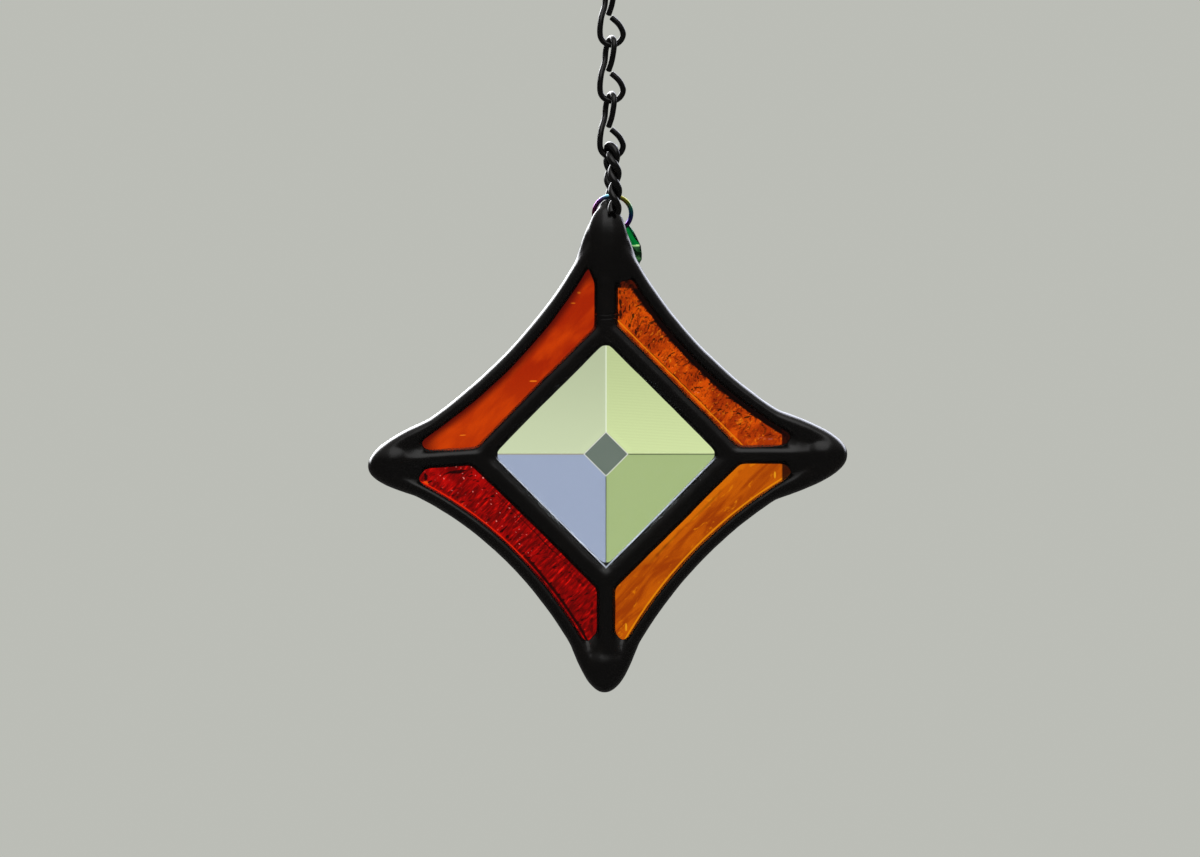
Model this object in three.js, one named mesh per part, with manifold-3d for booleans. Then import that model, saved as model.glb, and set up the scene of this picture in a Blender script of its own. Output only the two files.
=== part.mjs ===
// A small stained-glass suncatcher: a clear bevelled square set in a four-pointed star of
// coloured panes, joined by beads of black solder, hung by a twisted-wire loop on a jack chain.
// Millimetres, +Z up, and the front faces -Y. The origin is the inside top of the uppermost
// chain eye, the point that rests on a hook or a nail.
import * as THREE from "three";
import { mergeVertices } from "three/addons/utils/BufferGeometryUtils.js";
import Module from "manifold-3d";

const wasm = await Module();
wasm.setup();

const QUARTER = Math.PI / 2;

// Clear space between touching pieces: wire on wire, and glass in its solder channel.
const WIRE_GAP = 0.12;
const CHANNEL_GAP = 0.2;

// Chain: jack links of round wire. The lower eye faces the front. The upper eye is turned nearly
// edge-on and leans a little, and each eye's cut end comes back towards the shank.
const CHAIN_WIRE = 0.88;
const LINK_INSIDE = 8.18;
const LINK_PITCH = LINK_INSIDE - WIRE_GAP;
const EYE_RADIUS = 1.66;
const EYE_TURN = THREE.MathUtils.degToRad(-70);
const EYE_LEAN = 0.15;
const LINK_NAMES = ["chain_link_upper", "chain_link_middle", "chain_link_lower"];

// Where a link's wire is bent by hand: the upper eye's cut end and the top of the shank, as
// [eye radii across, height], the shank's waist, as [eye radii across, depth, height], and the
// lower eye's cut end, as [eye radii across, height over the eye's centre].
const UPPER_CUT_END = [
  [0.5, -4.35],
  [0.95, -2.9],
];
const SHANK_TOP = [-0.85, -2.9];
const SHANK_WAIST = [-0.9, 0.25, -4.8];
const LOWER_CUT_END = [
  [0.68, 1.2],
  [-0.04, 2.35],
];
const EYE_STEP = 30;

// The star hangs below the chain. Its own frame is centred on the bevelled square.
const STAR_CENTRE = new THREE.Vector3(-0.8, 0, -67.5);

// Glass, centred on Y = 0. Each pane is straight along the square and its two spokes, and
// hollowed outside by a wide arc whose centre lies out on the pane's diagonal.
const BEVEL_SIDE = 25.4;
const BEVEL_WINDOW = 23.0;
const BEVEL_FLAT_SIDE = 4.5;
const BEVEL_THICKNESS = 4.8;
const BEVEL_EDGE_THICKNESS = 2.0;
const PANE_THICKNESS = 2.8;
const PANE_TIP = 30.2;
const SEAM = 1.0;
const RIM_COVER = 1.0;
const ARC_CENTRE = 59.6;

// The star is handmade: its left tip sits lower than the right one, and past this distance from
// the middle everything bends down towards it.
const LEFT_TIP_SAG = 1.3;
const SAG_FROM = 8;
const TIP_REACH = 31.0;

// Solder beads, oval in section. Each quarter, clockwise from the upper right one, has its rim
// (the outline's arc and the bead's half width), the half width of the bead along the square,
// and the spoke at the quarter's start: its half width and its shift to the clockwise side.
const QUARTERS = [
  { arc: 63.6, rim: 1.15, square: 1.8, spoke: 2.0, shift: 0 },
  { arc: 63.65, rim: 1.05, square: 1.92, spoke: 1.62, shift: 0.05 },
  { arc: 63.25, rim: 1.14, square: 1.95, spoke: 1.6, shift: 0 },
  { arc: 63.7, rim: 1.18, square: 1.62, spoke: 1.6, shift: 0 },
];
const RIM_HALF_DEPTH = 2.3;
const SEAM_HALF_DEPTH = 2.6;
const RIM_TO = 30.5;
const SPOKE_FROM = 17.5;

// Each tip's outline is a parabola, clockwise from the top: how far it reaches, how fast it
// widens, its shift to the clockwise side, the half depth of the bead that runs round it, and
// where that bead leaves one rim and meets the next.
const TIPS = [
  { reach: 35.6, widening: 2.6, shift: 0, halfDepth: 1.6, from: 27.3, to: 27.9 },
  { reach: 34.8, widening: 4.1, shift: 0.05, halfDepth: 2.3, from: 24.6, to: 24.7 },
  { reach: 34.4, widening: 3.5, shift: 0.2, halfDepth: 2.3, from: 27.4, to: 27.8 },
  { reach: 34.35, widening: 3.8, shift: 0, halfDepth: 2.3, from: 27.6, to: 25.4 },
];
const TIP_BEAD = 1.2;

// Solder drops: [x, y, z, half width, half depth, half height]. CORNER_DROP rounds each corner
// of the square, and TIP_DROPS fill the tips.
const CORNER_DROP = [0, 0, 17.3, 2.25, 2.4, 2.0];
const TIP_DROPS = [
  [0.15, -0.5, 29.4, 3.15, 2.35, 6.5],
  [0, -0.3, 24.6, 1.95, 2.4, 3.4],
  [2.2, 0, 27.0, 2.3, 2.1, 3.0],
  [0.1, 0, 34.6, 1.4, 1.1, 2.2],
  [31.0, 0, -0.1, 3.5, 3.0, 3.1],
  [28.4, 0, 0, 3.3, 2.35, 4.0],
  [-30.5, 0, 0.15, 3.4, 3.0, 3.2],
  [-28.5, 0, 0.1, 3.3, 2.35, 4.0],
  [-0.3, 0, -30.5, 3.1, 3.0, 3.5],
  [-0.1, 0, -28.9, 3.8, 2.35, 4.1],
];

// Hanging loop: two wires twisted together and bent over the top tip, front leg first.
const LOOP_WIRE = 1.05;
const LOOP_LAY = 5.2;
const STRAND_REACH = 0.41 * LOOP_WIRE;
const LOOP_PHASE = THREE.MathUtils.degToRad(45);
const LOOP_ROUTE = [
  [1.2, -2.35, 34.6],
  [1.3, -2.4, 36.4],
  [1.3, -2.3, 38.6],
  [1.2, -2.1, 41.0],
  [0.98, -1.6, 43.1],
  [0.75, 0, 44.2],
  [0.62, 1.6, 43.1],
  [0.66, 2.2, 41.0],
  [0.75, 2.4, 38.6],
  [0.86, 2.3, 36.9],
  [0.9, 1.9, 35.2],
];

// Split ring round the loop's back leg, and the glass drop threaded on it.
const RING_WIRE = 0.66;
const RING_RADIUS = 2.67;
const RING_SPLIT = THREE.MathUtils.degToRad(5);
const RING_LEAN = THREE.MathUtils.degToRad(20);
const RING_CENTRE = new THREE.Vector3(0.96, 1.66, 34.66);
const DROP_HOLE = new THREE.Vector3(2.49, 2.42, 32.6);
const DROP_BACKWARD = THREE.MathUtils.degToRad(21);
const DROP_SIDEWAYS = THREE.MathUtils.degToRad(9);
const DROP_SIDES = 8;
const DROP_DEPTH_RATIO = 0.62;
const DROP_PROFILE = [
  [0, -6.85],
  [0.8, -6.6],
  [1.75, -5.6],
  [2.2, -4.3],
  [2.0, -2.3],
  [1.35, -0.6],
  [0.95, 0.35],
  [0.45, 0.75],
  [0, 0.75],
];

// Sides of the faceted tubes.
const BEAD_SIDES = 10;
const WIRE_SIDES = 8;
const STRAND_SIDES = 6;

const LOOKS = {
  solder: { color: "#101011", roughness: 0.4, metalness: 0.8 },
  wire: { color: "#0c0c0d", roughness: 0.35, metalness: 0.8 },
  rainbow: { color: "#8a7fa8", roughness: 0.2, metalness: 1 },
  clear: { color: "#dfe9dc", roughness: 0.02, metalness: 0, transparent: true, opacity: 0.35 },
  flame: { color: "#cf4204", roughness: 0.06, metalness: 0, transparent: true, opacity: 0.8 },
  orange: { color: "#d2600a", roughness: 0.2, metalness: 0, transparent: true, opacity: 0.8 },
  amber: { color: "#cc7008", roughness: 0.08, metalness: 0, transparent: true, opacity: 0.8 },
  ruby: { color: "#a80505", roughness: 0.15, metalness: 0, transparent: true, opacity: 0.8 },
  green: { color: "#0d7a48", roughness: 0.04, metalness: 0, transparent: true, opacity: 0.8 },
};

// An arc in a plane that faces the front.
class FrontArc extends THREE.Curve {
  constructor(x, z, radius, from, to) {
    super();
    Object.assign(this, { x, z, radius, from, to });
  }

  getPoint(t, target = new THREE.Vector3()) {
    const angle = THREE.MathUtils.lerp(this.from, this.to, t);
    const x = this.x + this.radius * Math.cos(angle);
    const z = this.z + this.radius * Math.sin(angle);
    return target.set(x, 0, z);
  }
}

// The middle line of the bead that runs round the top tip, one half width inside its parabola.
class TipArc extends THREE.Curve {
  constructor({ reach, widening, shift, from, to }) {
    super();
    Object.assign(this, { reach, widening, shift });
    this.start = -Math.atan(2 * Math.sqrt((reach - from) / widening));
    this.end = Math.atan(2 * Math.sqrt((reach - to) / widening));
  }

  getPoint(t, target = new THREE.Vector3()) {
    const turned = THREE.MathUtils.lerp(this.start, this.end, t);
    const across = (this.widening / 2) * Math.tan(turned);
    const x = this.shift + across - TIP_BEAD * Math.sin(turned);
    const z = this.reach - across ** 2 / this.widening - TIP_BEAD * Math.cos(turned);
    return target.set(x, 0, z);
  }

  // Steps are even in turning, not in length, so that the narrow tip keeps its shape.
  getUtoTmapping(u) {
    return u;
  }
}

// One wire of a twisted pair, winding round the pair's middle line.
class TwistedWire extends THREE.Curve {
  constructor(middle, phase) {
    super();
    Object.assign(this, { middle, phase });
    this.turns = middle.getLength() / LOOP_LAY;
  }

  getPoint(t, target = new THREE.Vector3()) {
    const tangent = this.middle.getTangentAt(t);
    const inward = new THREE.Vector3(0, tangent.z, -tangent.y).normalize();
    const aside = new THREE.Vector3().crossVectors(inward, tangent);
    const angle = this.phase + (t - 0.5) * this.turns * 2 * Math.PI;
    return this.middle
      .getPointAt(t, target)
      .addScaledVector(aside, STRAND_REACH * Math.cos(angle))
      .addScaledVector(inward, STRAND_REACH * Math.sin(angle));
  }
}

function vectors(list) {
  return list.map((place) => new THREE.Vector3(...place));
}

// A closed tube of oval section, with flat ends.
function tube(path, halfDepth, halfWidth, sides, steps) {
  const section = new THREE.Shape();
  section.absellipse(0, 0, halfDepth, halfWidth, 0, 2 * Math.PI, false);
  return new THREE.ExtrudeGeometry(section, {
    curveSegments: sides / 2,
    steps,
    extrudePath: path,
  });
}

function wire(path, diameter, sides, steps) {
  return tube(path, diameter / 2, diameter / 2, sides, steps);
}

// A closed mesh as a manifold solid: shared corners merged, and flat triangles left out.
function solidOf(geometry) {
  const bare = new THREE.BufferGeometry();
  bare.setAttribute("position", geometry.getAttribute("position"));
  bare.setIndex(geometry.index);
  const merged = mergeVertices(bare, 1e-4);
  const corners = Array.from(merged.index.array);
  const kept = [];
  for (let i = 0; i < corners.length; i += 3) {
    const [a, b, c] = corners.slice(i, i + 3);
    if (a !== b && b !== c && c !== a) kept.push(a, b, c);
  }
  const mesh = new wasm.Mesh({
    numProp: 3,
    vertProperties: merged.attributes.position.array,
    triVerts: new Uint32Array(kept),
  });
  return new wasm.Manifold(mesh);
}

function geometryOf(solid) {
  const { vertProperties, triVerts } = solid.getMesh();
  const geometry = new THREE.BufferGeometry();
  geometry.setAttribute("position", new THREE.BufferAttribute(vertProperties, 3));
  geometry.setIndex(new THREE.BufferAttribute(triVerts, 1));
  return geometry;
}

function joined(geometries) {
  return geometries.map(solidOf).reduce((whole, piece) => whole.add(piece));
}

function piece(name, geometry, look) {
  const mesh = new THREE.Mesh(geometry, new THREE.MeshStandardMaterial(LOOKS[look]));
  mesh.name = name;
  return mesh;
}

// Bends a piece of the star down towards its left tip.
function sagged(geometry) {
  const places = geometry.getAttribute("position");
  for (let i = 0; i < places.count; i += 1) {
    const past = Math.max(0, -places.getX(i) - SAG_FROM) / (TIP_REACH - SAG_FROM);
    places.setZ(i, places.getZ(i) - LEFT_TIP_SAG * past ** 2);
  }
  return geometry;
}

// A quarter's pane, drawn at the upper right and turned into place, grown outwards all round.
function paneSlab(turn, grow) {
  const spoke = SEAM / 2 - grow;
  const inner = (BEVEL_SIDE / 2 + SEAM - grow) * Math.SQRT2 - spoke;
  const tip = PANE_TIP + grow;
  const radius = QUARTERS[turn].arc + RIM_COVER - grow;
  const tipAngle = Math.acos((tip - ARC_CENTRE) / radius);
  const arcEnd = ARC_CENTRE - radius * Math.sin(tipAngle);
  const shape = new THREE.Shape();
  shape.moveTo(inner, spoke);
  shape.lineTo(tip, spoke);
  shape.lineTo(tip, arcEnd);
  shape.absarc(ARC_CENTRE, ARC_CENTRE, radius, -tipAngle, tipAngle - 3 * QUARTER, true);
  shape.lineTo(spoke, tip);
  shape.lineTo(spoke, inner);
  const thickness = PANE_THICKNESS + 2 * grow;
  const slab = new THREE.ExtrudeGeometry(shape, {
    depth: thickness,
    bevelEnabled: false,
    curveSegments: 16,
  });
  slab.rotateX(QUARTER).translate(0, thickness / 2, 0);
  return sagged(slab.rotateY(turn * QUARTER));
}

// The bevelled square on its corner, as a four-sided turning with a flat back.
function bevelBlock(grow) {
  const corner = (BEVEL_SIDE / 2 + grow) * Math.SQRT2;
  const flat = BEVEL_FLAT_SIDE / Math.SQRT2;
  const edge = BEVEL_EDGE_THICKNESS / 2 + grow;
  const front = BEVEL_THICKNESS - BEVEL_EDGE_THICKNESS / 2 + grow;
  const profile = [
    new THREE.Vector2(0, -front),
    new THREE.Vector2(flat, -front),
    new THREE.Vector2(corner, -edge),
    new THREE.Vector2(corner, edge),
    new THREE.Vector2(0, edge),
  ];
  return new THREE.LatheGeometry(profile, 4);
}

// The hollow rim of the upper right quarter, between the top and the right tip.
function rimBead({ arc, rim }) {
  const radius = arc + rim;
  const reach = Math.acos((RIM_TO - ARC_CENTRE) / radius);
  const path = new FrontArc(ARC_CENTRE, ARC_CENTRE, radius, -reach, reach - 3 * QUARTER);
  return tube(path, RIM_HALF_DEPTH, rim, BEAD_SIDES, 16);
}

// The bead on the bevelled square's upper right side, its visible edge on the square's window.
function squareBead({ square }) {
  const lip = PANE_THICKNESS / 2 + CHANNEL_GAP;
  const visible = square * Math.sqrt(1 - (lip / SEAM_HALF_DEPTH) ** 2);
  const corner = (BEVEL_WINDOW / 2 + visible) * Math.SQRT2;
  const top = new THREE.Vector3(0, 0, corner);
  const right = new THREE.Vector3(corner, 0, 0);
  return tube(new THREE.LineCurve3(top, right), SEAM_HALF_DEPTH, square, BEAD_SIDES, 4);
}

function spokeBead({ spoke, shift }) {
  const from = new THREE.Vector3(shift, 0, SPOKE_FROM);
  const to = new THREE.Vector3(shift, 0, TIP_REACH);
  return tube(new THREE.LineCurve3(from, to), SEAM_HALF_DEPTH, spoke, BEAD_SIDES, 4);
}

function tipBead(tip) {
  return tube(new TipArc(tip), tip.halfDepth, TIP_BEAD, BEAD_SIDES, 10);
}

function solderDrop([x, y, z, halfWidth, halfDepth, halfHeight]) {
  return new THREE.SphereGeometry(1, 12, 7)
    .scale(halfWidth, halfDepth, halfHeight)
    .translate(x, y, z);
}

function loopWires(grow) {
  const middle = new THREE.CatmullRomCurve3(vectors(LOOP_ROUTE));
  const diameter = LOOP_WIRE + 2 * grow;
  return [LOOP_PHASE, LOOP_PHASE + Math.PI].map((phase) =>
    wire(new TwistedWire(middle, phase), diameter, STRAND_SIDES, 36),
  );
}

// The solder lattice: every bead and drop run together, with channels for the glass and the
// loop's two soldered ends.
function solderFrame() {
  const beads = QUARTERS.flatMap((quarter, turn) =>
    [rimBead(quarter), squareBead(quarter), spokeBead(quarter), solderDrop(CORNER_DROP)].map(
      (bead) => bead.rotateY(turn * QUARTER),
    ),
  );
  const tips = TIPS.map((tip, turn) => tipBead(tip).rotateY(turn * QUARTER));
  const solder = joined([...beads, ...tips, ...TIP_DROPS.map(solderDrop)].map(sagged));
  const panes = QUARTERS.map((_, turn) => paneSlab(turn, CHANNEL_GAP));
  const cuts = joined([...panes, bevelBlock(CHANNEL_GAP), ...loopWires(WIRE_GAP)]);
  return geometryOf(solder.subtract(cuts));
}

// One jack link, from the upper eye's cut end, over its top, down the shank, round the lower
// eye and up to that eye's cut end. Its own origin is the inside top of the upper eye.
function chainLink() {
  const half = CHAIN_WIRE / 2;
  const upperCentre = half - EYE_RADIUS;
  const lowerCentre = EYE_RADIUS - LINK_INSIDE - half;
  const places = [];
  const upper = (across, z) => {
    const x = across * Math.cos(EYE_TURN) + EYE_LEAN * (z - half);
    places.push(new THREE.Vector3(x, across * Math.sin(EYE_TURN), z));
  };
  UPPER_CUT_END.forEach(([across, z]) => upper(across * EYE_RADIUS, z));
  for (let angle = 0; angle <= 180; angle += EYE_STEP) {
    const turned = THREE.MathUtils.degToRad(angle);
    upper(EYE_RADIUS * Math.cos(turned), upperCentre + EYE_RADIUS * Math.sin(turned));
  }
  upper(SHANK_TOP[0] * EYE_RADIUS, SHANK_TOP[1]);
  places.push(new THREE.Vector3(SHANK_WAIST[0] * EYE_RADIUS, SHANK_WAIST[1], SHANK_WAIST[2]));
  for (let angle = 180; angle <= 360; angle += EYE_STEP) {
    const turned = THREE.MathUtils.degToRad(angle);
    const x = EYE_RADIUS * Math.cos(turned);
    places.push(new THREE.Vector3(x, 0, lowerCentre + EYE_RADIUS * Math.sin(turned)));
  }
  LOWER_CUT_END.forEach(([across, above]) => {
    places.push(new THREE.Vector3(across * EYE_RADIUS, 0, lowerCentre + above));
  });
  return wire(new THREE.CatmullRomCurve3(places), CHAIN_WIRE, WIRE_SIDES, 36);
}

function jumpRing(grow) {
  const start = -QUARTER + RING_SPLIT / 2;
  const end = start + 2 * Math.PI - RING_SPLIT;
  return wire(new FrontArc(0, 0, RING_RADIUS, start, end), RING_WIRE + 2 * grow, WIRE_SIDES, 32)
    .rotateX(RING_LEAN)
    .translate(...RING_CENTRE);
}

// The glass drop: an eight-sided turning, flattened, drilled where the ring passes.
function glassDrop() {
  const profile = DROP_PROFILE.map(([radius, height]) => new THREE.Vector2(radius, height));
  const drop = new THREE.LatheGeometry(profile, DROP_SIDES)
    .rotateX(QUARTER)
    .scale(1, DROP_DEPTH_RATIO, 1)
    .rotateX(DROP_BACKWARD)
    .rotateY(-DROP_SIDEWAYS)
    .translate(...DROP_HOLE);
  return geometryOf(solidOf(drop).subtract(solidOf(jumpRing(WIRE_GAP))));
}

const star = new THREE.Group();
star.position.copy(STAR_CENTRE);
star.add(piece("solder_frame", solderFrame(), "solder"));
star.add(piece("bevelled_square", geometryOf(solidOf(bevelBlock(0))), "clear"));
const PANES = [
  ["pane_upper_right", "orange"],
  ["pane_lower_right", "amber"],
  ["pane_lower_left", "ruby"],
  ["pane_upper_left", "flame"],
];
PANES.forEach(([name, look], turn) => {
  star.add(piece(name, paneSlab(turn, 0), look));
});
star.add(piece("hanging_loop", geometryOf(joined(loopWires(0))), "wire"));
star.add(piece("jump_ring", jumpRing(0), "rainbow"));
star.add(piece("glass_drop", glassDrop(), "green"));

const suncatcher = new THREE.Group();
LINK_NAMES.forEach((name, place) => {
  const link = piece(name, chainLink(), "wire");
  link.position.z = -place * LINK_PITCH;
  suncatcher.add(link);
});
suncatcher.add(star);

export default suncatcher;
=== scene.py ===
"""A stained-glass suncatcher: a four-pointed star of coloured panes round a clear bevelled square.

The panes are joined by black solder beads, and the star hangs by a twisted-wire loop on a jack
chain, with a rainbow jump ring and a green glass drop behind its top tip.
"""
from math import acos, asin, atan, cos, hypot, pi, radians, sin, sqrt, tan, tau

import bmesh
import bpy
from bpy.props import FloatProperty, FloatVectorProperty, IntProperty, PointerProperty
from mathutils import Matrix, Vector, noise


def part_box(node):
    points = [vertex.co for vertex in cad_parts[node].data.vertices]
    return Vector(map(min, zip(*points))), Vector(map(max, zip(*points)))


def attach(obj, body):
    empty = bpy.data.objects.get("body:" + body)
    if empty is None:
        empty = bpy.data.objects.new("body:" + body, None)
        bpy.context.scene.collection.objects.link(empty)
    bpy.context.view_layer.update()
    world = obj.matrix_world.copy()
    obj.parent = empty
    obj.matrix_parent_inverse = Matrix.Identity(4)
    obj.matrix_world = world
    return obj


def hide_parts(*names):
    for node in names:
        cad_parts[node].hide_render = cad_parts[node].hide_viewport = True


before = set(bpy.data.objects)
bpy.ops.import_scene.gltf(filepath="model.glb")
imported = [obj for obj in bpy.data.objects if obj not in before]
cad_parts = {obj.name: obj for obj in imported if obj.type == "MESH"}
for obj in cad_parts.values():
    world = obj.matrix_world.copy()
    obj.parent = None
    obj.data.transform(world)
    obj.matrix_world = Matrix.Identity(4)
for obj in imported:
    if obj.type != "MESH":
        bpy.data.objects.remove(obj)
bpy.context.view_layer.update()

bl_info = {
    "name": "Stained Glass Suncatcher",
    "version": (1, 0, 0),
    "blender": (4, 5, 0),
    "location": "3D View > Sidebar > Suncatcher",
    "description": "Builds a small stained-glass star with its solder, loop and chain",
    "category": "Object",
}

MM = 0.001
QUARTER = radians(90)

# The star's own frame: millimetres from the middle of the bevelled square, which lies on Y = 0.
SQUARE_LOW, SQUARE_HIGH = (Vector(corner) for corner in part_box("bevelled_square"))
STAR = Vector(((SQUARE_LOW.x + SQUARE_HIGH.x) / 2, 0, (SQUARE_LOW.z + SQUARE_HIGH.z) / 2))
STAR_FRAME = Matrix.Translation(STAR) @ Matrix.Scale(MM, 4)

# Glass.
BEVEL_SIDE = 25.4
BEVEL_WINDOW = 23.0
BEVEL_FLAT_SIDE = 4.5
BEVEL_THICKNESS = 4.8
BEVEL_EDGE_THICKNESS = 2.0
PANE_THICKNESS = 2.8
PANE_TIP = 30.2
SEAM = 1.0
RIM_COVER = 1.0
ARC_CENTRE = 59.6
GLASS_SINK = 0.03
BEVEL_RIDGE = 0.08
GRINDING_PITCH = 0.42

# Where a pane's relief may start: how many half widths of a bead hide the pane, how far a spoke
# hides it, where its tips stop being open, and the gap and the width over which it fades in.
BEAD_HIDES = 1.8
SPOKE_HIDES = 1.5
PANE_OPEN_TO = 26.4
RELIEF_GAP = 0.1
RELIEF_FADE = 0.9

# The star's left tip sags below the right one.
LEFT_TIP_SAG = 1.3
SAG_FROM = 8
TIP_REACH = 31.0

# Solder, clockwise from the upper right quarter: the outline's arc, the half widths of its rim,
# of the bead along the square and of the spoke at its start, and that spoke's shift.
QUARTERS = (
    {"arc": 63.6, "rim": 1.15, "square": 1.8, "spoke": 2.0, "shift": 0.0},
    {"arc": 63.65, "rim": 1.05, "square": 1.92, "spoke": 1.62, "shift": 0.05},
    {"arc": 63.25, "rim": 1.14, "square": 1.95, "spoke": 1.6, "shift": 0.0},
    {"arc": 63.7, "rim": 1.18, "square": 1.62, "spoke": 1.6, "shift": 0.0},
)
RIM_HALF_DEPTH = 2.3
SEAM_HALF_DEPTH = 2.6
RIM_TO = 30.5
SPOKE_FROM = 17.5
LIP_OVER_PANE = 0.2
DOME_FLOW = 3
BROAD_UNEVENNESS = 0.05
FINE_UNEVENNESS = 0.02
SOLDER_SHARP = radians(38)
BEAD_SIDES = 32
RIM_STEPS = 48
BEAD_STEPS = 12
TIP_STEPS = 40

# Marks on the solder: two creases across the top neck, and a painted highlight, a thin bright glint,
# along the lower sides of the square's window.
NECK_CREASES = ((19.95, 20.0), (19.36, 19.42))
CREASE_SOFT = 0.09
CREASE_ARCH = -0.1
PAINTED_GLINT_EDGE = (16.2, 16.38)
PAINTED_GLINT_SOFT = 0.1

# Tips, clockwise from the top: how far the outline's parabola reaches, how fast it widens, its
# shift to the clockwise side, its bead's half depth, and where that bead leaves and meets a rim.
TIPS = (
    {"reach": 35.6, "widening": 2.6, "shift": 0.0, "depth": 1.6, "ends": (27.3, 27.9)},
    {"reach": 34.8, "widening": 4.1, "shift": 0.05, "depth": 2.3, "ends": (24.6, 24.7)},
    {"reach": 34.37, "widening": 3.5, "shift": 0.2, "depth": 2.3, "ends": (27.4, 27.8)},
    {"reach": 34.3, "widening": 3.8, "shift": 0.0, "depth": 2.3, "ends": (27.6, 25.4)},
)
TIP_BEAD = 1.2

# Drops of solder: each one's middle and its three half sizes.
CORNER_DROP = (0, 0, 17.3, 2.25, 2.4, 2.0)
TOP_DOME = (0.15, -0.5, 29.4, 3.15, 2.35, 6.5)
TIP_DROPS = (
    (0, -0.3, 24.6, 1.95, 2.4, 3.4),
    (2.2, 0, 27.0, 2.3, 2.1, 3.0),
    (0.1, 0, 34.6, 1.4, 1.1, 2.2),
    (31.0, 0, -0.1, 3.5, 2.95, 3.1),
    (28.4, 0, 0, 3.3, 2.35, 4.0),
    (-30.5, 0, 0.15, 3.4, 2.95, 3.2),
    (-28.5, 0, 0.1, 3.3, 2.35, 4.0),
    (-0.3, 0, -30.5, 3.1, 2.95, 3.5),
    (-0.1, 0, -28.9, 3.8, 2.35, 4.1),
)

# Hanging loop: the twisted pair's middle line, front leg first.
LOOP_WIRE = 1.05
LOOP_LAY = 5.2
LOOP_PHASE = radians(45)
STRAND_REACH = 0.47 * LOOP_WIRE
LOOP_STEPS = 180
LOOP_SIDES = 18
LOOP_ROUTE = (
    (1.2, -2.35, 34.6),
    (1.3, -2.4, 36.4),
    (1.3, -2.3, 38.6),
    (1.2, -2.1, 41.0),
    (0.98, -1.6, 43.1),
    (0.75, 0, 44.15),
    (0.62, 1.6, 43.1),
    (0.66, 2.2, 41.0),
    (0.75, 2.4, 38.6),
    (0.86, 2.3, 36.9),
    (0.9, 1.9, 35.2),
)

# Wire: the length and the narrowing of a cut end's rounding, and what counts as a sharp edge.
CUT_LENGTH = 0.06
CUT_NARROWING = 0.84
WIRE_SIDES = 20
SHARP = radians(50)

# Chain.
CHAIN_WIRE = 0.88
WIRE_SHY = 0.021
LINK_INSIDE = 8.18
EYE_RADIUS = 1.66
EYE_TURN = radians(-70)
EYE_LEAN = 0.15
LINK_NAMES = ("chain_link_upper", "chain_link_middle", "chain_link_lower")

# Jump ring and drop.
RING_WIRE = 0.66
RING_RADIUS = 2.67
RING_SPLIT = radians(5)
RING_LEAN = radians(20)
RING_CENTRE = Vector((0.96, 1.66, 34.66))
RING_STEPS = 96
RING_CUT_LENGTH = 0.04
RING_HUES = (
    (0.0, (0.35, 0.02, 0.12)),
    (0.20, (0.30, 0.05, 0.45)),
    (0.36, (0.60, 0.03, 0.40)),
    (0.42, (0.16, 0.05, 0.50)),
    (0.48, (0.03, 0.10, 0.45)),
    (0.54, (0.04, 0.50, 0.36)),
    (0.61, (0.55, 0.58, 0.06)),
    (0.70, (0.60, 0.52, 0.12)),
    (0.80, (0.18, 0.55, 0.80)),
    (0.88, (0.40, 0.14, 0.62)),
    (1.0, (0.30, 0.01, 0.05)),
)
DROP_HOLE = Vector((2.49, 2.42, 32.6))
DROP_BACKWARD = radians(21)
DROP_SIDEWAYS = radians(9)
DROP_DEPTH_RATIO = 0.62
DROP_SIDES = 10
# The drop's rows of corners: radius and height.
DROP_ROWS = (
    (0.45, 0.72), (0.95, 0.3), (1.42, -0.75), (1.85, -1.9), (2.12, -3.1),
    (2.2, -4.2), (1.95, -5.2), (1.3, -6.1), (0.5, -6.7),
)

# Stage, in metres and watts.
FLOOR_RADIUS = 0.9
PANEL_PLACE = (0.05, -0.6, 0.75)
PANEL_SIZE = 0.9
PANEL_POWER = 2.4
QUARTER_BLUR = 0.006
CROSS_EDGE = (0.05, 0.065)
STRAIGHT_ON = (0.0009, 1, -0.0038)
CAMERA_ASIDE = -0.00086
CAMERA_ABOVE = 0.00367


def colour_setting(name, description, default):
    """A colour that the user may change."""
    return FloatVectorProperty(
        name=name, description=description, subtype="COLOR", size=3, min=0, max=1,
        default=default,
    )


class SuncatcherGlass(bpy.types.PropertyGroup):
    """Colours of the glass."""

    clear: colour_setting("Clear", "Tint of the bevelled square", (0.93, 0.97, 0.93))
    flame: colour_setting("Flame", "Upper left pane", (0.48, 0.022, 0.0002))
    orange: colour_setting("Orange", "Upper right pane", (0.82, 0.095, 0.0003))
    amber: colour_setting("Amber", "Lower right pane", (0.68, 0.13, 0.0003))
    ruby: colour_setting("Ruby", "Lower left pane", (0.36, 0.0005, 0.0004))
    green: colour_setting("Green", "Hanging drop", (0.0005, 0.20, 0.06))


class SuncatcherMetal(bpy.types.PropertyGroup):
    """Solder and wire."""

    patina: colour_setting("Patina", "Black of the solder", (0.0062, 0.0056, 0.0052))
    wire: colour_setting("Wire", "Black of the chain and the loop", (0.003, 0.003, 0.003))
    grain: FloatProperty(
        name="Mesh size", description="Edge length of the solder's mesh", unit="LENGTH",
        default=0.00026, min=0.0001, max=0.001, precision=5,
    )
    flow: IntProperty(
        name="Flow", description="How far neighbouring beads run together",
        default=14, min=0, max=60,
    )


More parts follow.
